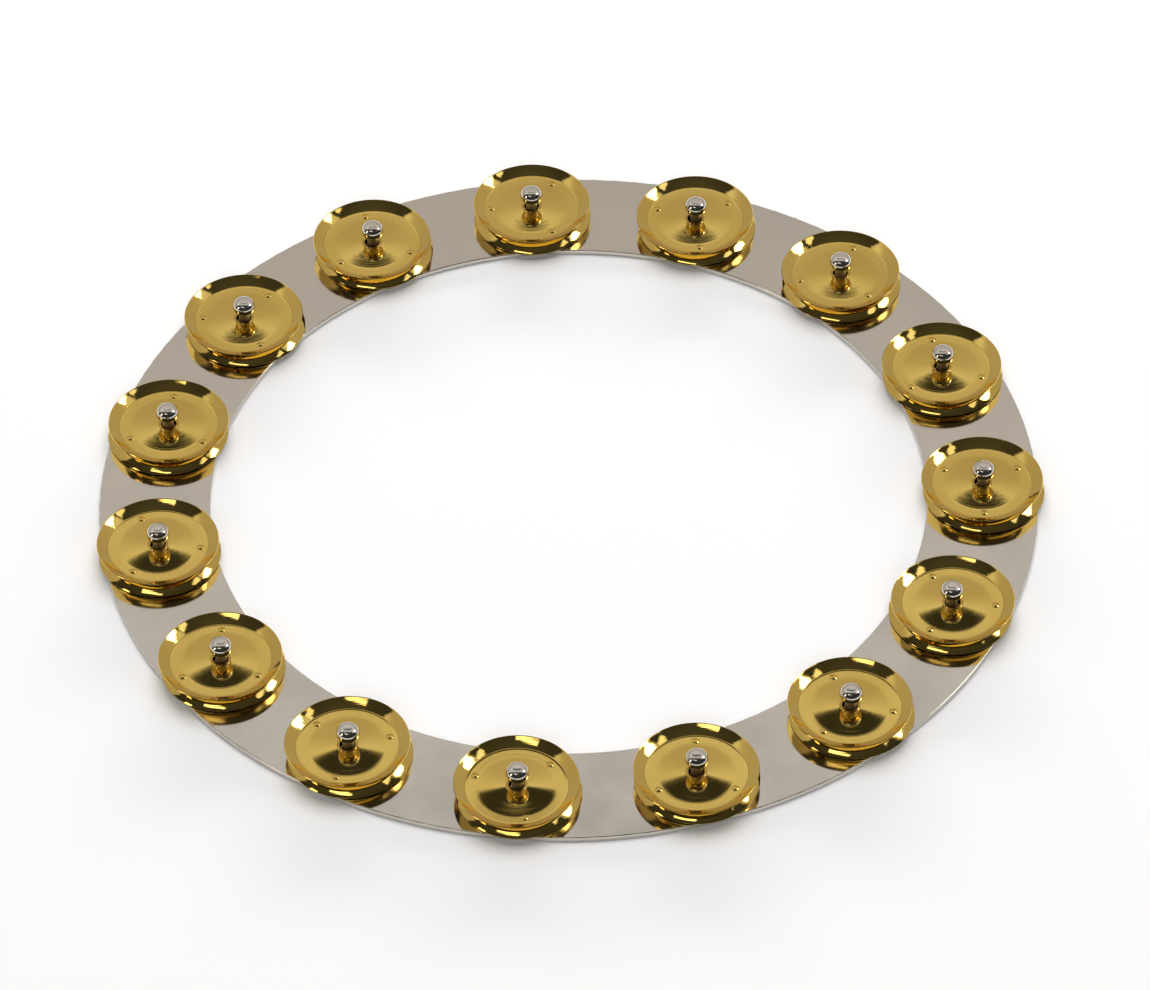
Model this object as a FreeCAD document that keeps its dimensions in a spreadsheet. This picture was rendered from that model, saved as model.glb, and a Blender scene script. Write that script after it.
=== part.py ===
import FreeCAD, Part
import math
import os
import Sketcher

# A jingle ring: a flat stainless steel ring that lies on a drum, with pairs of brass jingles that
# ride loosely on domed steel rivets. The origin is the centre of the ring's underside, +Z is up.

SIZES = {
    # the flat ring
    "ring_outer_diameter": 343,
    "ring_inner_diameter": 262,
    "ring_thickness": 2,
    "ring_edge_round": 0.4,
    # where the jingles stand on it
    "station_count": 15,
    "first_station_angle": 94.5,
    # one pressed brass jingle
    "jingle_diameter": 44.5,
    "sheet_thickness": 0.45,
    "flange_width": 4.1,
    "flange_angle": 33.5,
    "land_width": 4.35,
    "dome_height": 0.6,
    "eyelet_width": 0.7,
    "eyelet_height": 0.35,
    "dimple_count": 3,
    "dimple_inset": 1.6,
    "dimple_diameter": 2.2,
    "dimple_height": 0.35,
    # the rivet that a pair of jingles rides on
    "shank_diameter": 4.2,
    "shoulder_width": 0.8,
    "tail_depth": 0.9,
    "head_overlap": 1.4,
    "head_height": 4.2,
    "head_land": 0.3,
    # room between the moving pieces
    "hole_clearance": 0.7,
    "rest_shift": 0.4,
    "seat_gap": 0.3,
    "stack_gap": 0.15,
    "stop_gap": 0.15,
    "free_travel": 4.4,
}

# How each jingle happens to lie, station by station, in degrees from +X: the turn of its dimples,
# and the side of the rivet that it has slid to.
UPPER_TURNS = [60, 35, 70, 100, 30, 115, 110, 90, 40, 15, 90, 115, 85, 55, 100]
UPPER_SIDES = [90, 200, 100, 180, 150, 20, 160, 250, 170, 180, 200, 130, 60, 150, 190]
LOWER_TURNS = [10, 57, 104, 31, 78, 5, 52, 99, 26, 73, 0, 47, 94, 21, 68]
LOWER_SIDES = [300, 10, 320, 280, 330, 200, 350, 80, 20, 0, 10, 300, 240, 330, 0]

doc = FreeCAD.newDocument("jingle_ring")

sheet = doc.addObject("Spreadsheet::Sheet", "Sizes")
for row, (alias, number) in enumerate(SIZES.items(), start=1):
    sheet.set(f"A{row}", alias)
    sheet.set(f"B{row}", str(number))
    sheet.setAlias(f"B{row}", alias)
doc.recompute()


# Sizes that follow from the sheet, as expressions that stay bound to it.

def cell(alias):
    return f"Sizes.{alias}"


RING_OUTER_RADIUS = f"({cell('ring_outer_diameter')} / 2)"
RING_INNER_RADIUS = f"({cell('ring_inner_diameter')} / 2)"
STATION_RADIUS = f"(({RING_OUTER_RADIUS} + {RING_INNER_RADIUS}) / 2)"
STATION_STEP = f"(360 / {cell('station_count')})"

SHEET = cell("sheet_thickness")
FLANGE_SINE = f"sin({cell('flange_angle')})"
FLANGE_COSINE = f"cos({cell('flange_angle')})"
FLANGE_RISE = f"(({cell('flange_width')} - {SHEET} * {FLANGE_SINE}) * tan({cell('flange_angle')}))"
JINGLE_DEPTH = f"({SHEET} + {FLANGE_RISE})"

SHANK_RADIUS = f"({cell('shank_diameter')} / 2)"
HOLE_RADIUS = f"({SHANK_RADIUS} + {cell('hole_clearance')})"
EYELET_RADIUS = f"({HOLE_RADIUS} + {cell('eyelet_width')})"
EYELET_TOP = f"({SHEET} + {cell('dome_height')} + {cell('eyelet_height')})"
RIM_RADIUS = f"({cell('jingle_diameter')} / 2)"
BEND_RADIUS = f"({RIM_RADIUS} - {cell('flange_width')})"
DOME_RADIUS = f"({BEND_RADIUS} - {cell('land_width')})"
DIMPLE_PLACE = f"({DOME_RADIUS} + {cell('dimple_inset')})"
DIMPLE_RADIUS = f"({cell('dimple_diameter')} / 2)"
HOLLOW_RADIUS = f"({DIMPLE_RADIUS} - {SHEET} / 2)"
DOME_SPHERE = f"(({DOME_RADIUS} ^ 2 + {cell('dome_height')} ^ 2) / (2 * {cell('dome_height')}))"

LOWER_HEIGHT = f"({cell('ring_thickness')} + {cell('seat_gap')} + {JINGLE_DEPTH})"
UPPER_HEIGHT = f"({LOWER_HEIGHT} + {cell('stack_gap')})"
HEAD_BASE = f"({UPPER_HEIGHT} + {EYELET_TOP} + {cell('free_travel')} + {cell('stop_gap')})"
HEAD_RADIUS = f"({HOLE_RADIUS} + {cell('head_overlap')})"
HEAD_DOME = f"({cell('head_height')} - {cell('head_land')})"
HEAD_SPHERE = f"(({HEAD_RADIUS} ^ 2 + {HEAD_DOME} ^ 2) / (2 * {HEAD_DOME}))"
TENON_RADIUS = f"({SHANK_RADIUS} - {cell('shoulder_width')})"
TAIL_RADIUS = f"({TENON_RADIUS} + {cell('tail_depth')})"


def dome_underside(radius):
    """Height of the dished centre's underside at a distance from the jingle's axis."""
    return f"({cell('dome_height')} - {DOME_SPHERE} + sqrt({DOME_SPHERE} ^ 2 - {radius} ^ 2))"


def value(expression):
    return float(sheet.evalExpression(expression))


# Helpers for the sketches and features that the sub-parts share.

def new_body(name):
    body = doc.addObject("PartDesign::Body", name)
    body.Label = name
    return body


def origin_feature(body, role):
    return next(feature for feature in body.Origin.OriginFeatures if feature.Role == role)


def new_sketch(body, name, plane):
    sketch = body.newObject("Sketcher::SketchObject", name)
    sketch.AttachmentSupport = [(origin_feature(body, plane), "")]
    sketch.MapMode = "FlatFace"
    return sketch


def bind(sketch, kind, geometry, vertex, expression):
    """Holds one coordinate of a sketch point to an expression."""
    index = sketch.addConstraint(
        Sketcher.Constraint(kind, -1, 1, geometry, vertex, value(expression))
    )
    sketch.setExpression(f"Constraints[{index}]", expression)


def draw_profile(sketch, corners):
    """Draws a closed outline. Each corner is (x, y, radius): the radius is None where a straight
    line leads to the next corner, or that of an arc that bulges upwards on its way there."""
    points = [FreeCAD.Vector(value(x), value(y), 0) for x, y, _ in corners]
    for index, (_, _, radius) in enumerate(corners):
        start, end = points[index], points[(index + 1) % len(points)]
        if radius is None:
            sketch.addGeometry(Part.LineSegment(start, end), False)
        else:
            sketch.addGeometry(shallow_arc(start, end, value(radius)), False)
    for index, (x, y, radius) in enumerate(corners):
        following = (index + 1) % len(corners)
        first, last = arc_ends(points, index, radius)
        next_first, _ = arc_ends(points, following, corners[following][2])
        sketch.addConstraint(Sketcher.Constraint("Coincident", index, last, following, next_first))
        bind(sketch, "DistanceX", index, first, x)
        place_height(sketch, index, first, y)
        if radius is not None:
            number = sketch.addConstraint(Sketcher.Constraint("Radius", index, value(radius)))
            sketch.setExpression(f"Constraints[{number}]", radius)


def place_height(sketch, geometry, vertex, expression):
    """Holds a point's height, or holds it on the horizontal axis where the height is zero."""
    if expression == "0":
        sketch.addConstraint(Sketcher.Constraint("PointOnObject", geometry, vertex, -1))
    else:
        bind(sketch, "DistanceY", geometry, vertex, expression)


def arc_ends(points, index, radius):
    """Numbers of an edge's first and last point: an arc's run anticlockwise, whichever way the
    outline passes it, so on an arc that runs outwards and down they change places."""
    outwards = points[(index + 1) % len(points)].x > points[index].x
    return (2, 1) if radius is not None and outwards else (1, 2)


def shallow_arc(start, end, radius):
    """The short arc between two points that bulges upwards, with its centre below it."""
    middle = (start + end) * 0.5
    half = (end - start).Length / 2
    sink = math.sqrt(radius ** 2 - half ** 2)
    along = (end - start).normalize()
    upward = FreeCAD.Vector(-along.y, along.x, 0)
    if upward.y < 0:
        upward = upward * -1
    crown = middle + upward * (radius - sink)
    return Part.Arc(start, crown, end)


def draw_axis(sketch, distance):
    """Adds a construction line that stands at a distance from the origin, to revolve about."""
    foot = FreeCAD.Vector(value(distance), 0, 0)
    line = sketch.addGeometry(Part.LineSegment(foot, foot + FreeCAD.Vector(0, 5, 0)), True)
    sketch.addConstraint(Sketcher.Constraint("Vertical", line))
    sketch.addConstraint(Sketcher.Constraint("PointOnObject", line, 1, -1))
    bind(sketch, "DistanceX", line, 1, distance)
    sketch.addConstraint(Sketcher.Constraint("DistanceY", line, 1, line, 2, 5))


def repeat_round(body, features, count):
    """Repeats features round the body's Z axis and makes the result the body's shape."""
    pattern = body.newObject("PartDesign::PolarPattern", body.Name + "_pattern")
    pattern.Originals = features
    pattern.Axis = (origin_feature(body, "Z_Axis"), [""])
    pattern.Angle = 360
    pattern.setExpression("Occurrences", count)
    body.Tip = pattern
    return pattern


def set_place(body, x, y, z):
    body.setExpression("Placement.Base.x", x)
    body.setExpression("Placement.Base.y", y)
    body.setExpression("Placement.Base.z", z)


def station_angle(station):
    return f"({cell('first_station_angle')} - {station} * {STATION_STEP})"


# The flat ring: turned from plate with its edges rounded, with a countersunk hole at each station
# that the rivet's tail is peened into.

def make_ring_plate():
    body = new_body("ring_plate")
    outline = new_sketch(body, "ring_section", "XZ_Plane")
    draw_profile(outline, [
        (RING_INNER_RADIUS, "0", None),
        (RING_OUTER_RADIUS, "0", None),
        (RING_OUTER_RADIUS, cell("ring_thickness"), None),
        (RING_INNER_RADIUS, cell("ring_thickness"), None),
    ])
    ring = body.newObject("PartDesign::Revolution", "ring")
    ring.Profile = outline
    ring.ReferenceAxis = (outline, ["V_Axis"])
    ring.Angle = 360
    doc.recompute()

    rounded = body.newObject("PartDesign::Fillet", "ring_edges")
    rounded.Base = (ring, circular_edges(ring.Shape))
    rounded.setExpression("Radius", cell("ring_edge_round"))
    doc.recompute()

    section = new_sketch(body, "rivet_hole_section", "XZ_Plane")
    draw_profile(section, rivet_seat(cell("ring_thickness")))
    draw_axis(section, STATION_RADIUS)
    hole = body.newObject("PartDesign::Groove", "rivet_hole")
    hole.Profile = section
    hole.ReferenceAxis = (section, ["Axis0"])
    hole.Angle = 360
    repeat_round(body, [hole], cell("station_count"))
    turn_to_first_station(body)
    return body


def circular_edges(shape):
    """Names of the full circles on a turned shape, its seam edges left out."""
    return [
        f"Edge{number}"
        for number, edge in enumerate(shape.Edges, start=1)
        if isinstance(edge.Curve, Part.Circle) and edge.Closed
    ]


def rivet_seat(top):
    """Half-section of the tenon and its countersunk tail, from the ring's underside to a height."""
    return [
        (STATION_RADIUS, "0", None),
        (f"({STATION_RADIUS} + {TAIL_RADIUS})", "0", None),
        (f"({STATION_RADIUS} + {TENON_RADIUS})", cell("tail_depth"), None),
        (f"({STATION_RADIUS} + {TENON_RADIUS})", top, None),
        (STATION_RADIUS, top, None),
    ]


def turn_to_first_station(body):
    """Turns a body so that its first patterned feature stands at the first station."""
    body.Placement = FreeCAD.Placement(
        FreeCAD.Vector(0, 0, 0), FreeCAD.Rotation(FreeCAD.Vector(0, 0, 1), 1)
    )
    body.setExpression("Placement.Rotation.Angle", cell("first_station_angle"))


# The rivets: a tenon through the ring, its tail peened flush into the countersink, a thicker shank
# that the jingles ride on, and a domed head that keeps them on. One solid per station.

def make_jingle_rivets():
    body = new_body("jingle_rivets")
    body.AllowCompound = True
    section = new_sketch(body, "rivet_section", "XZ_Plane")
    seat = rivet_seat(cell("ring_thickness"))[:-1]
    draw_profile(section, seat + [
        (f"({STATION_RADIUS} + {SHANK_RADIUS})", cell("ring_thickness"), None),
        (f"({STATION_RADIUS} + {SHANK_RADIUS})", HEAD_BASE, None),
        (f"({STATION_RADIUS} + {HEAD_RADIUS})", HEAD_BASE, None),
        (f"({STATION_RADIUS} + {HEAD_RADIUS})", f"({HEAD_BASE} + {cell('head_land')})", HEAD_SPHERE),
        (STATION_RADIUS, f"({HEAD_BASE} + {cell('head_height')})", None),
    ])
    draw_axis(section, STATION_RADIUS)
    rivet = body.newObject("PartDesign::Revolution", "rivet")
    rivet.Profile = section
    rivet.ReferenceAxis = (section, ["Axis0"])
    rivet.Angle = 360
    doc.recompute()
    repeat_round(body, [rivet], cell("station_count"))
    turn_to_first_station(body)
    return body


# One jingle, dish upwards: pressed from brass sheet, with an eyelet round its hole, a shallow domed
# centre, a flat land that carries three raised dimples, and a conical flange.

def make_jingle(name):
    body = new_body(name)
    section = new_sketch(body, name + "_section", "XZ_Plane")
    draw_profile(section, [
        (HOLE_RADIUS, dome_underside(HOLE_RADIUS), None),
        (HOLE_RADIUS, EYELET_TOP, None),
        (EYELET_RADIUS, EYELET_TOP, None),
        (EYELET_RADIUS, f"({SHEET} + {dome_underside(EYELET_RADIUS)})", DOME_SPHERE),
        (DOME_RADIUS, SHEET, None),
        (BEND_RADIUS, SHEET, None),
        (f"({RIM_RADIUS} - {SHEET} * {FLANGE_SINE})", JINGLE_DEPTH, None),
        (RIM_RADIUS, f"({JINGLE_DEPTH} - {SHEET} * {FLANGE_COSINE})", None),
        (f"({BEND_RADIUS} + {SHEET} * tan({cell('flange_angle')} / 2))", "0", None),
        (DOME_RADIUS, "0", DOME_SPHERE),
    ])
    dish = body.newObject("PartDesign::Revolution", name + "_dish")
    dish.Profile = section
    dish.ReferenceAxis = (section, ["V_Axis"])
    dish.Angle = 360
    doc.recompute()

    raised = body.newObject("PartDesign::Revolution", name + "_dimple")
    raised.Profile = dimple_section(body, name + "_dimple_section", SHEET, DIMPLE_RADIUS)
    raised.ReferenceAxis = (raised.Profile[0], ["Axis0"])
    raised.Angle = 360
    doc.recompute()

    hollow = body.newObject("PartDesign::Groove", name + "_hollow")
    hollow.Profile = dimple_section(body, name + "_hollow_section", "0", HOLLOW_RADIUS)
    hollow.ReferenceAxis = (hollow.Profile[0], ["Axis0"])
    hollow.Angle = 360
    doc.recompute()
    repeat_round(body, [raised, hollow], cell("dimple_count"))
    return body


def dimple_section(body, name, base, radius):
    """Half of the low dome that is pressed into the land, standing at a height of base."""
    height = cell("dimple_height")
    sketch = new_sketch(body, name, "XZ_Plane")
    draw_profile(sketch, [
        (DIMPLE_PLACE, base, None),
        (f"({DIMPLE_PLACE} + {radius})", base, f"(({radius} ^ 2 + {height} ^ 2) / (2 * {height}))"),
        (DIMPLE_PLACE, f"({base} + {height})", None),
    ])
    draw_axis(sketch, DIMPLE_PLACE)
    return sketch


def seat_jingle(body, station, side, height, rotation):
    """Stands a jingle on its rivet, slid a little to one side of the shank as it lies at rest."""
    body.Placement = FreeCAD.Placement(FreeCAD.Vector(0, 0, 0), rotation)
    angle = station_angle(station)
    shift = cell("rest_shift")
    set_place(
        body,
        f"{STATION_RADIUS} * cos({angle}) + {shift} * cos({side})",
        f"{STATION_RADIUS} * sin({angle}) + {shift} * sin({side})",
        height,
    )


parts = [make_ring_plate(), make_jingle_rivets()]

up = FreeCAD.Vector(0, 0, 1)
turned_over = FreeCAD.Rotation(FreeCAD.Vector(1, 0, 0), 180)
for station in range(int(value(cell("station_count")))):
    lying = station % len(UPPER_TURNS)

    # The lower jingle is turned over, so that its rim stands on the ring and the hubs meet.
    lower = make_jingle(f"jingle_lower_{station + 1:02d}")
    lower_turn = FreeCAD.Rotation(up, LOWER_TURNS[lying])
    seat_jingle(lower, station, LOWER_SIDES[lying], LOWER_HEIGHT, lower_turn * turned_over)
    parts.append(lower)

    upper = make_jingle(f"jingle_upper_{station + 1:02d}")
    upper_turn = FreeCAD.Rotation(up, UPPER_TURNS[lying])
    seat_jingle(upper, station, UPPER_SIDES[lying], UPPER_HEIGHT, upper_turn)
    parts.append(upper)

doc.recompute()

failed = [item.Name for item in doc.Objects if {"Invalid", "Error"} & set(item.State)]
if failed:
    raise RuntimeError(f"objects that did not build: {failed}")
for part in parts:
    if part.Shape.isNull() or not part.Shape.isValid():
        raise RuntimeError(f"{part.Label} has no valid shape")

os.makedirs("parts", exist_ok=True)
for part in parts:
    part.Shape.exportStep(f"parts/{part.Label}.step")
    print(f"{part.Label}: {len(part.Shape.Solids)} solid(s), {part.Shape.Volume:.1f} mm3")
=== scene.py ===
import math

import bmesh
import bpy
from mathutils import Matrix, Vector


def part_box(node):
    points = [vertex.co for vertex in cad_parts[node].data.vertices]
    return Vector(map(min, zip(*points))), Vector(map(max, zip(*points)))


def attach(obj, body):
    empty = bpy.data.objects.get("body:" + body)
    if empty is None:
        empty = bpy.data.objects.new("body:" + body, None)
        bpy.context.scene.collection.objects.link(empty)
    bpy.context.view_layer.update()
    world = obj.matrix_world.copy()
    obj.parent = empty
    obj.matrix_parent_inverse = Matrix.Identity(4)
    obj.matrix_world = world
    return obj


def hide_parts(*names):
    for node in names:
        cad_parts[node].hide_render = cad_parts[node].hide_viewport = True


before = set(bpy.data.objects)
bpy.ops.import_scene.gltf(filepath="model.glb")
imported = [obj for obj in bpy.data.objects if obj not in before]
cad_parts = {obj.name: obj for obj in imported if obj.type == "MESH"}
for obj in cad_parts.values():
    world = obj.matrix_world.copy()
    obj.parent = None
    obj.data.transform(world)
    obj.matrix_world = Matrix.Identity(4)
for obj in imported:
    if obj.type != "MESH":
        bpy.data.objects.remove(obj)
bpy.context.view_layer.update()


# ---------------------------------------------------------------------------------------------
# The camera: a long lens on a stand in front of the table, looking down at about 45 degrees on
# the middle of the ring, and tipped by a degree as the ring lies a little askew on its sheet.

MM = 0.001

FILM_WIDTH = 36
LENS_LENGTH = 212.3
CAMERA_TIP = math.radians(44.49)
CAMERA_ROLL = math.radians(-1.19)
CAMERA_REACH = 2.478
CAMERA_AIM = Vector((2.38, -1.46, 2.0)) * MM

towards_camera = Vector((0, -math.cos(CAMERA_TIP), math.sin(CAMERA_TIP)))
level = Vector((1, 0, 0))
upright = towards_camera.cross(level)
side = math.cos(CAMERA_ROLL) * level + math.sin(CAMERA_ROLL) * upright
head = math.cos(CAMERA_ROLL) * upright - math.sin(CAMERA_ROLL) * level

camera_data = bpy.data.cameras.new("camera")
camera_data.sensor_width = FILM_WIDTH
camera_data.lens = LENS_LENGTH
camera = bpy.data.objects.new("camera", camera_data)
stand = Matrix((side, head, towards_camera)).transposed().to_4x4()
stand.translation = CAMERA_AIM + towards_camera * CAMERA_REACH
camera.matrix_world = stand
bpy.context.scene.collection.objects.link(camera)
bpy.context.scene.camera = camera


# ---------------------------------------------------------------------------------------------
# The table: a wide sheet of matt white paper that the ring lies on, a hair below its underside. It
# shows only its upper face and not what is pressed against it, so that the ring's underside can be
# looked at from below.

PAPER_WHITE = (0.93, 0.93, 0.935, 1)
PAPER_GAP = 0.1 * MM
PAPER_HALF_WIDTH = 30


def combined(tree, first, second, operation):
    """Joins two values, each a socket or a number, by one step of arithmetic."""
    node = tree.nodes.new("ShaderNodeMath")
    node.operation = operation
    for socket, source in zip(node.inputs, (first, second)):
        if isinstance(source, (int, float)):
            socket.default_value = source
        else:
            tree.links.new(source, socket)
    return node.outputs[0]


paper_sheet = bmesh.new()
bmesh.ops.create_grid(paper_sheet, x_segments=1, y_segments=1, size=PAPER_HALF_WIDTH)
bmesh.ops.translate(paper_sheet, vec=(0, 0, -PAPER_GAP), verts=paper_sheet.verts[:])
floor_mesh = bpy.data.meshes.new("paper")
paper_sheet.to_mesh(floor_mesh)
paper_sheet.free()
floor = bpy.data.objects.new("paper", floor_mesh)
bpy.context.scene.collection.objects.link(floor)

paper = bpy.data.materials.new("matt_paper")
paper.use_nodes = True
matt = paper.node_tree
paper_surface = matt.nodes["Principled BSDF"]
paper_surface.inputs["Base Color"].default_value = PAPER_WHITE
paper_surface.inputs["Roughness"].default_value = 1.0
paper_surface.inputs["Specular IOR Level"].default_value = 0.0
paper_face = matt.nodes.new("ShaderNodeNewGeometry")
paper_path = matt.nodes.new("ShaderNodeLightPath")
pressed_on = combined(matt, paper_path.outputs["Ray Length"], 5 * PAPER_GAP, "LESS_THAN")
unseen = combined(matt, pressed_on, paper_face.outputs["Backfacing"], "MAXIMUM")
see_through = matt.nodes.new("ShaderNodeBsdfTransparent")
either_face = matt.nodes.new("ShaderNodeMixShader")
matt.links.new(unseen, either_face.inputs["Fac"])
matt.links.new(paper_surface.outputs["BSDF"], either_face.inputs[1])
matt.links.new(see_through.outputs["BSDF"], either_face.inputs[2])
matt.links.new(either_face.outputs["Shader"], matt.nodes["Material Output"].inputs["Surface"])
floor_mesh.materials.append(paper)


# ---------------------------------------------------------------------------------------------
# The studio: a bright curved backdrop behind the ring that rises into a pale ceiling, with a dark
# gap between the two, and a dim room in front. Polished metal mirrors it, so its bands matter.

bpy.context.scene.view_settings.view_transform = "Standard"

GAP_EDGE = (0.165, 0.185)
BACKDROP_LEAN = 0.06
BACKDROP_EDGE = 0.02
LAMP_REACH = 3.0

world = bpy.data.worlds.new("studio")
world.use_nodes = True
bpy.context.scene.world = world
sky = world.node_tree
direction = sky.nodes.new("ShaderNodeTexCoord")
axes = sky.nodes.new("ShaderNodeSeparateXYZ")
sky.links.new(direction.outputs["Generated"], axes.inputs[0])


def tone(tree, value, stops):
    """A colour that follows a value through its stops, each (value, colour)."""
    ramp = tree.nodes.new("ShaderNodeValToRGB")
    tree.links.new(value, ramp.inputs["Fac"])
    elements = ramp.color_ramp.elements
    while len(elements) < len(stops):
        elements.new(0.5)
    for element, (place, colour) in zip(elements, stops):
        element.position = place
        element.color = colour
    return ramp.outputs["Color"]


def rise(tree, value, start, end, low=0.0, high=1.0):
    """Goes from low to high as the value goes from start to end."""
    node = tree.nodes.new("ShaderNodeMapRange")
    node.inputs["From Min"].default_value = start
    node.inputs["From Max"].default_value = end
    node.inputs["To Min"].default_value = low
    node.inputs["To Max"].default_value = high
    tree.links.new(value, node.inputs["Value"])
    return node.outputs["Result"]


def blend(tree, share, first, second):
    """Goes from the first colour to the second as the share rises. Either can be a plain colour."""
    node = tree.nodes.new("ShaderNodeMix")
    node.data_type = "RGBA"
    tree.links.new(share, node.inputs["Factor"])
    for socket, colour in (("A", first), ("B", second)):
        if isinstance(colour, tuple):
            node.inputs[socket].default_value = colour
        else:
            tree.links.new(colour, node.inputs[socket])
    return node.outputs["Result"]


def band(elevation, light, warmth=0.0):
    """One stop of a wall's brightness: its height in degrees, its light and how warm it is."""
    colour = (light, light * (1 - warmth / 2), light * (1 - warmth), 1)
    return math.sin(math.radians(elevation)), colour


backdrop = tone(sky, axes.outputs["Z"], [
    band(0, 0.46, 0.10), band(36, 0.50, 0.16), band(42.2, 0.55, 0.16), band(46.9, 0.74, 0.07),
    band(48.3, 0.80, 0.05), band(60, 0.62, 0.10), band(75, 0.58, 0.12), band(90, 0.54, 0.14),
])
gap_in_backdrop = tone(sky, axes.outputs["Z"], [
    band(0, 0.46, 0.10), band(36, 0.50, 0.16), band(42.2, 0.55, 0.16), band(46.9, 0.74, 0.07),
    band(48.15, 0.80, 0.05), band(48.4, 0.03), band(55, 0.04), band(55.8, 0.60, 0.10),
    band(90, 0.54, 0.14),
])
dim_room = tone(sky, axes.outputs["Z"], [
    band(0, 0.05), band(30, 0.03), band(60, 0.05), band(90, 0.075),
])

off_middle = combined(sky, axes.outputs["X"], 0.0, "ABSOLUTE")
far_wall = blend(sky, rise(sky, off_middle, *GAP_EDGE), gap_in_backdrop, backdrop)
lean = combined(sky, axes.outputs["Z"], -BACKDROP_LEAN, "MULTIPLY")
behind = combined(sky, axes.outputs["Y"], lean, "ADD")
on_backdrop = rise(sky, behind, -BACKDROP_EDGE, BACKDROP_EDGE)
walls = blend(sky, on_backdrop, dim_room, far_wall)
sky.links.new(walls, sky.nodes["Background"].inputs["Color"])


def lamp(name, azimuth, elevation, width, height, brightness, colour=(1, 1, 1), for_paper=False):
    """An area lamp aimed at the ring. The azimuth runs clockwise from the back of the table and the
    brightness is that of its face. A flag keeps the paper's lamps off the metal."""
    data = bpy.data.lights.new(name, "AREA")
    data.shape = "RECTANGLE"
    data.size, data.size_y = width, height
    data.energy = brightness * math.pi * width * height
    data.color = colour
    turn, tip = math.radians(azimuth), math.radians(elevation)
    out = math.cos(tip)
    place = Vector((math.sin(turn) * out, math.cos(turn) * out, math.sin(tip)))
    made = bpy.data.objects.new(name, data)
    made.location = place * LAMP_REACH
    made.rotation_mode = "QUATERNION"
    made.rotation_quaternion = place.to_track_quat("Z", "Y")
    made.visible_glossy = not for_paper
    made.visible_diffuse = for_paper
    bpy.context.scene.collection.objects.link(made)


lamp("window_low", 77, 41, 0.75, 0.60, 7.0)
lamp("window_high", 99, 53, 0.60, 0.36, 1.2)
lamp("ceiling_strip", 206, 60, 1.3, 0.30, 2.2, (1.0, 0.95, 0.85))
lamp("side_strip", 245, 25, 0.5, 1.6, 3.0, (1.0, 0.9, 0.72))
lamp("paper_key", 8, 68, 2.6, 2.6, 2.6, for_paper=True)
lamp("paper_fill", 180, 35, 2.4, 1.4, 2.6, for_paper=True)
lamp("paper_rake", 4, 10, 3.6, 0.35, 30.0, for_paper=True)


# ---------------------------------------------------------------------------------------------
# The ring: 2 mm stainless steel plate, cut out, its edges rounded and its faces polished with a
# fine belt, which leaves a faint cloudiness and very fine scratches in the mirror.

STEEL_COLOUR = (0.72, 0.675, 0.60, 1)
STEEL_CLOUD_COLOUR = (0.69, 0.65, 0.58, 1)
STEEL_CLOUD_SCALE = 38.0
BELT_MARK_SCALE = 900.0
BELT_MARK_DEPTH = 0.002 * MM


def metal(name, colour, roughness):
    made = bpy.data.materials.new(name)
    made.use_nodes = True
    surface = made.node_tree.nodes["Principled BSDF"]
    surface.inputs["Base Color"].default_value = colour
    surface.inputs["Metallic"].default_value = 1.0
    surface.inputs["Roughness"].default_value = roughness
    return made, surface


def marks(tree, scale, stretch=(1, 1, 1), detail=3.0):
    """A noise on the piece's own coordinates, drawn out along any axis whose stretch is small."""
    place = tree.nodes.new("ShaderNodeTexCoord")
    mapping = tree.nodes.new("ShaderNodeMapping")
    mapping.inputs["Scale"].default_value = stretch
    noise = tree.nodes.new("ShaderNodeTexNoise")
    noise.inputs["Scale"].default_value = scale
    noise.inputs["Detail"].default_value = detail
    tree.links.new(place.outputs["Object"], mapping.inputs["Vector"])
    tree.links.new(mapping.outputs["Vector"], noise.inputs["Vector"])
    return noise.outputs["Fac"]


def emboss(tree, surface, height, depth):
    """Raises the surface a little by a noise, as deep as the finish is rough."""
    bump = tree.nodes.new("ShaderNodeBump")
    bump.inputs["Strength"].default_value = 1.0
    bump.inputs["Distance"].default_value = depth
    tree.links.new(height, bump.inputs["Height"])
    tree.links.new(bump.outputs["Normal"], surface.inputs["Normal"])


def dress(piece, material):
    piece.data.materials.clear()
    piece.data.materials.append(material)


polished_steel, steel_face = metal("polished_steel", STEEL_COLOUR, 0.10)
steel = polished_steel.node_tree
steel_cloud = marks(steel, STEEL_CLOUD_SCALE, detail=5.0)
steel_tone = tone(steel, steel_cloud, [(0.35, STEEL_CLOUD_COLOUR), (0.65, STEEL_COLOUR)])
steel.links.new(steel_tone, steel_face.inputs["Base Color"])
steel_polish = rise(steel, steel_cloud, 0.3, 0.7, low=0.13, high=0.08)
steel.links.new(steel_polish, steel_face.inputs["Roughness"])
belt_marks = marks(steel, BELT_MARK_SCALE, stretch=(0.04, 1, 1), detail=2.0)
emboss(steel, steel_face, belt_marks, BELT_MARK_DEPTH)
dress(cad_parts["ring_plate"], polished_steel)


# ---------------------------------------------------------------------------------------------
# The rivets: turned steel, one at each station, with a tail peened flush into the ring's underside,
# a satin shank that the jingles ride on and a polished head, domed but a little flat on top.

STATIONS = 15
STATION_RADIUS = 151.25 * MM
FIRST_STATION = math.radians(94.5)
STATION_STEP = math.radians(24)

RIVET_COLOUR = (0.74, 0.70, 0.63, 1)
RIVET_CLOUD_COLOUR = (0.70, 0.66, 0.59, 1)
RIVET_CLOUD_SCALE = 90.0
TURNING_MARK_SCALE = 700.0
SHANK_COLOUR = (0.86, 0.79, 0.66, 1)
SHANK_ROUGHNESS = 0.55
SHANK_END, HEAD_START = 11.6 * MM, 11.72 * MM
RIVET_STEPS = 64

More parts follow.
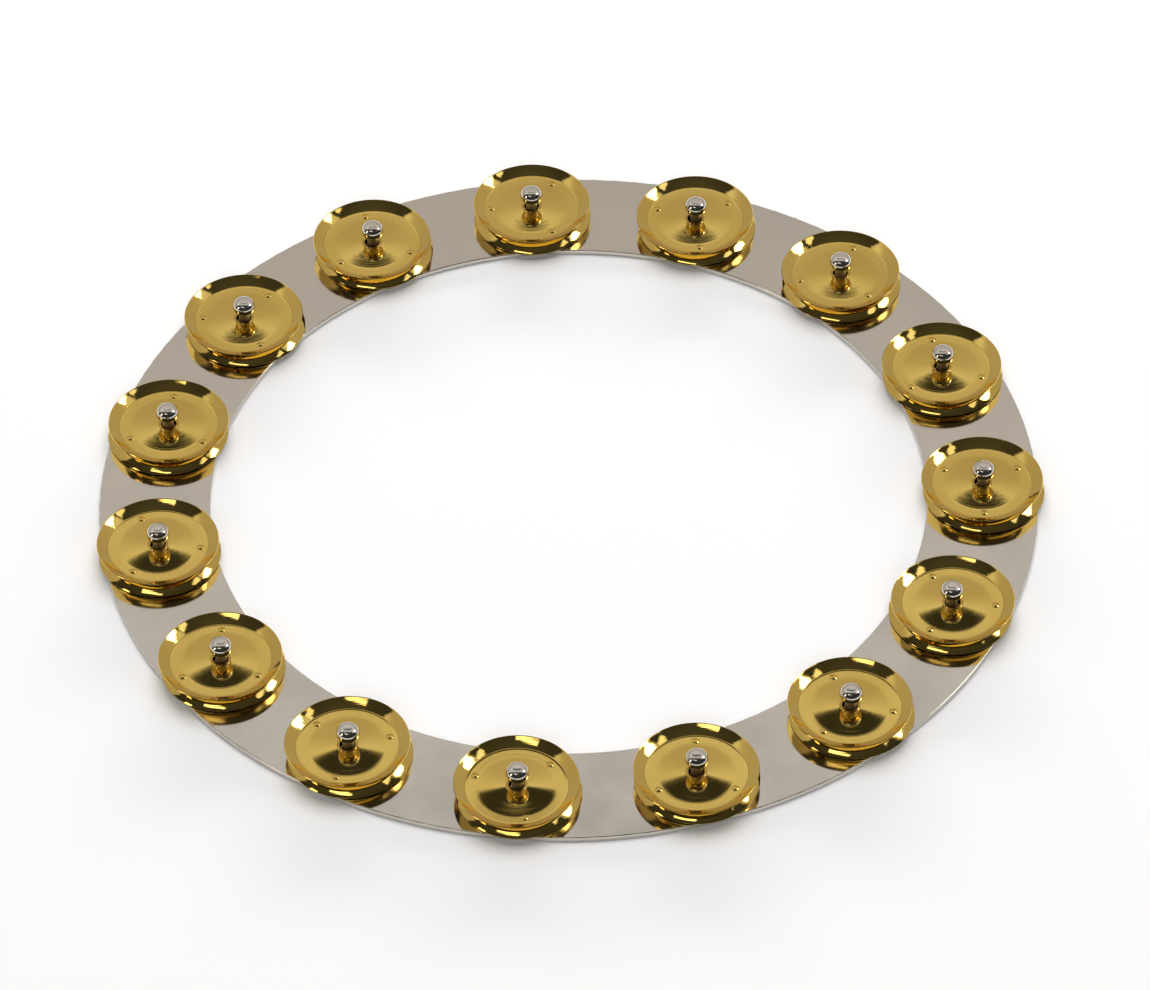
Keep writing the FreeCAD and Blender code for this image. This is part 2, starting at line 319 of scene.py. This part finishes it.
RIVET_SECTION = [
    # distance from the axis, height, and how far the corner is rounded, all in mm
    (0.0, 0.0, 0.0), (2.2, 0.0, 0.0), (1.3, 0.9, 0.0), (1.3, 2.0, 0.0), (2.1, 2.0, 0.0),
    (2.1, 11.7, 0.0), (4.18, 11.7, 0.15), (4.18, 15.58, 2.8), (0.0, 15.58, 0.0),
]


def turned(section, steps):
    """Spins a half-section about the Z axis and rounds its corners. The section starts and ends on
    the axis, or closes back to its first corner."""
    made = bmesh.new()
    corners = [made.verts.new((r * MM, 0, z * MM)) for r, z, _ in section]
    following = corners[1:] + (corners[:1] if section[0][0] else [])
    for start, end in zip(corners, following):
        made.edges.new((start, end))
    bmesh.ops.spin(
        made, geom=made.verts[:] + made.edges[:], cent=(0, 0, 0), axis=(0, 0, 1), dvec=(0, 0, 0),
        angle=math.tau, steps=steps, use_merge=True, use_duplicate=False,
    )
    bmesh.ops.remove_doubles(made, verts=made.verts[:], dist=1e-6)
    for r, z, rounding in section:
        if rounding:
            ring = [
                edge for edge in made.edges
                if all(abs(v.co.xy.length - r * MM) < 1e-6 for v in edge.verts)
                and all(abs(v.co.z - z * MM) < 1e-6 for v in edge.verts)
            ]
            bmesh.ops.bevel(
                made, geom=ring, offset=rounding * MM, offset_type="OFFSET", affect="EDGES",
                segments=3 + int(rounding * 4), profile=0.5, material=-1, clamp_overlap=True,
            )
    bmesh.ops.recalc_face_normals(made, faces=made.faces[:])
    for face in made.faces:
        face.smooth = True
    return made


def finished(name, shape, material):
    mesh = bpy.data.meshes.new(name)
    shape.to_mesh(mesh)
    shape.free()
    piece = bpy.data.objects.new(name, mesh)
    bpy.context.scene.collection.objects.link(piece)
    dress(piece, material)
    return piece


plated_steel, rivet_face = metal("plated_steel", RIVET_COLOUR, 0.05)
plating = plated_steel.node_tree
rivet_place = plating.nodes.new("ShaderNodeTexCoord")
rivet_axes = plating.nodes.new("ShaderNodeSeparateXYZ")
plating.links.new(rivet_place.outputs["Object"], rivet_axes.inputs[0])
on_head = rise(plating, rivet_axes.outputs["Z"], SHANK_END, HEAD_START)
rivet_cloud = marks(plating, RIVET_CLOUD_SCALE)
head_tone = tone(plating, rivet_cloud, [(0.35, RIVET_CLOUD_COLOUR), (0.65, RIVET_COLOUR)])
rivet_tone = blend(plating, on_head, SHANK_COLOUR, head_tone)
plating.links.new(rivet_tone, rivet_face.inputs["Base Color"])
turning_marks = marks(plating, TURNING_MARK_SCALE, stretch=(1, 1, 6), detail=2.0)
head_polish = rise(plating, turning_marks, 0.3, 0.7, low=0.07, high=0.12)
rivet_polish = blend(plating, on_head, (SHANK_ROUGHNESS,) * 3 + (1,), head_polish)
plating.links.new(rivet_polish, rivet_face.inputs["Roughness"])

one_rivet = turned(RIVET_SECTION, RIVET_STEPS)
rivet_mesh = bpy.data.meshes.new("one_rivet")
one_rivet.to_mesh(rivet_mesh)
one_rivet.free()
all_rivets = bmesh.new()
for station in range(STATIONS):
    angle = FIRST_STATION - station * STATION_STEP
    place = (STATION_RADIUS * math.cos(angle), STATION_RADIUS * math.sin(angle), 0)
    before = len(all_rivets.verts)
    all_rivets.from_mesh(rivet_mesh)
    all_rivets.verts.ensure_lookup_table()
    bmesh.ops.translate(all_rivets, vec=place, verts=all_rivets.verts[before:])
bpy.data.meshes.remove(rivet_mesh)
rivets = finished("jingle_rivets_turned", all_rivets, plated_steel)
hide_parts("jingle_rivets")
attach(rivets, "ring")


# ---------------------------------------------------------------------------------------------
# The jingles: pressed from half-millimetre brass sheet, two on each rivet with their hubs together.
# Each has an eyelet round its hole, a very low cone, a flat land with three punched dimples and a
# flange that steepens towards its rim. Lacquered and polished on a lathe, which leaves fine rings.

BRASS_COLOUR = (0.83, 0.60, 0.16, 1)
BRASS_DEEP_COLOUR = (0.79, 0.555, 0.14, 1)
# Painted shade: the darker brass laid over the eyelet and along the bend into the flange.
BRASS_PAINTED_SHADE_COLOUR = (0.60, 0.38, 0.09, 1)
BRASS_CLOUD_SCALE = 42.0
LATHE_RING_SCALE = 60.0
LATHE_RING_DEPTH = 0.007 * MM

JINGLE_RIM = 22.25 * MM
JINGLE_STEPS = 120
LONG_FACE = 0.9 * MM
JINGLE_SECTION = [
    # distance from the axis, height over the underside of the land, and rounding, all in mm
    (2.80, 0.62, 0.0), (2.80, 1.39, 0.18), (3.50, 1.39, 0.22), (3.60, 1.04, 0.22),
    (5.20, 0.96, 1.0), (13.9, 0.45, 0.8), (18.15, 0.45, 0.15), (20.2, 1.70, 1.0),
    (22.0, 2.99, 0.10), (22.24, 2.62, 0.10), (20.45, 1.32, 1.0), (18.32, 0.0, 1.4),
    (13.8, 0.0, 0.8), (5.2, 0.51, 1.0),
]

DIMPLES = 3
DIMPLE_PLACE = 15.4 * MM
DIMPLE_RADIUS = 1.3 * MM
DIMPLE_HEIGHT = 0.52 * MM
DIMPLE_PATCH = 2.6 * MM
DIMPLE_BAND = 2.0 * MM

# Painted shade: the brass is darkened against the distance from the axis, as a share of the rim's.
# It is fully dark over the eyelet under the rivet head and half dark along the bend into the
# flange.
NO_PAINTED_SHADE, HALF_PAINTED_SHADE, FULL_PAINTED_SHADE = (0, 0, 0, 1), (0.45, 0.45, 0.45, 1), (1, 1, 1, 1)
PAINTED_CREASE_SHADE = [
    (0.155, FULL_PAINTED_SHADE), (0.164, NO_PAINTED_SHADE), (0.172, NO_PAINTED_SHADE), (0.815, NO_PAINTED_SHADE), (0.825, HALF_PAINTED_SHADE),
    (0.835, NO_PAINTED_SHADE),
]

# The turn of each jingle's dimples and the way that the upper one leans, in degrees.
UPPER_TURNS = [60, 35, 70, 100, 30, 115, 110, 90, 40, 15, 90, 115, 85, 55, 100]
LOWER_TURNS = [10, 57, 104, 31, 78, 5, 52, 99, 26, 73, 0, 47, 94, 21, 68]
UPPER_LEANS = [20, 250, 130, 310, 80, 200, 340, 60, 290, 160, 100, 230, 10, 180, 270]
LEAN = math.radians(0.35)


def punch_dimples(disc):
    """Raises three low domes in the land, from underneath, as a punch does."""
    for number in range(DIMPLES):
        turn = Matrix.Rotation(math.radians(360 / DIMPLES * number), 3, "Z")
        middle = turn @ Vector((DIMPLE_PLACE, 0, 0))
        patch = [
            edge for edge in disc.edges
            if all((v.co.xy - middle.xy).length < DIMPLE_PATCH for v in edge.verts)
            and abs(sum(v.co.xy.length for v in edge.verts) / 2 - DIMPLE_PLACE) < DIMPLE_BAND
        ]
        bmesh.ops.subdivide_edges(disc, edges=patch, cuts=4, use_grid_fill=True)
        for vertex in disc.verts:
            reach = (vertex.co.xy - middle.xy).length / DIMPLE_RADIUS
            if reach < 1.0:
                vertex.co.z += DIMPLE_HEIGHT * math.cos(reach * math.pi / 2) ** 0.8


jingle_brass, brass_face = metal("jingle_brass", BRASS_COLOUR, 0.08)
brass = jingle_brass.node_tree
from_axis = brass.nodes.new("ShaderNodeAttribute")
from_axis.attribute_name = "from_axis"
brass_cloud = marks(brass, BRASS_CLOUD_SCALE, detail=4.0)
unshaded_brass = tone(brass, brass_cloud, [(0.34, BRASS_DEEP_COLOUR), (0.62, BRASS_COLOUR)])
# Painted shade, mixed into the brass colour by the distance from the axis.
crease_shade_share = tone(brass, from_axis.outputs["Fac"], PAINTED_CREASE_SHADE)
brass_and_painted_shade = blend(brass, crease_shade_share, unshaded_brass, BRASS_PAINTED_SHADE_COLOUR)
brass.links.new(brass_and_painted_shade, brass_face.inputs["Base Color"])
brass_polish = rise(brass, brass_cloud, 0.3, 0.7, low=0.065, high=0.035)
brass.links.new(brass_polish, brass_face.inputs["Roughness"])
lathe_rings = brass.nodes.new("ShaderNodeTexNoise")
lathe_rings.noise_dimensions = "1D"
lathe_rings.inputs["Scale"].default_value = LATHE_RING_SCALE
lathe_rings.inputs["Detail"].default_value = 3.0
brass.links.new(from_axis.outputs["Fac"], lathe_rings.inputs["W"])
emboss(brass, brass_face, lathe_rings.outputs["Fac"], LATHE_RING_DEPTH)

disc = turned(JINGLE_SECTION, JINGLE_STEPS)
spokes = [
    edge for edge in disc.edges
    if abs(edge.verts[0].co.xy.length - edge.verts[1].co.xy.length) > LONG_FACE
]
bmesh.ops.subdivide_edges(disc, edges=spokes, cuts=3, use_grid_fill=True)
punch_dimples(disc)
bmesh.ops.recalc_face_normals(disc, faces=disc.faces[:])
rim_distance = disc.verts.layers.float.new("from_axis")
for vertex in disc.verts:
    vertex[rim_distance] = vertex.co.xy.length / JINGLE_RIM
for face in disc.faces:
    face.smooth = True

for station in range(STATIONS):
    for which in ("lower", "upper"):
        node = f"jingle_{which}_{station + 1:02d}"
        low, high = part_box(node)
        x, y = (low.x + high.x) / 2, (low.y + high.y) / 2
        if which == "lower":
            turn = Matrix.Rotation(math.radians(LOWER_TURNS[station]), 4, "Z")
            lying = Matrix.Translation((x, y, high.z)) @ turn @ Matrix.Rotation(math.pi, 4, "X")
        else:
            turn = Matrix.Rotation(math.radians(UPPER_TURNS[station]), 4, "Z")
            towards = math.radians(UPPER_LEANS[station])
            lean = Matrix.Rotation(LEAN, 4, (-math.sin(towards), math.cos(towards), 0))
            lying = Matrix.Translation((x, y, low.z)) @ lean @ turn
        shape = disc.copy()
        bmesh.ops.transform(shape, matrix=lying, verts=shape.verts[:])
        jingle = finished(node + "_pressed", shape, jingle_brass)
        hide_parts(node)
        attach(jingle, node)
disc.free()
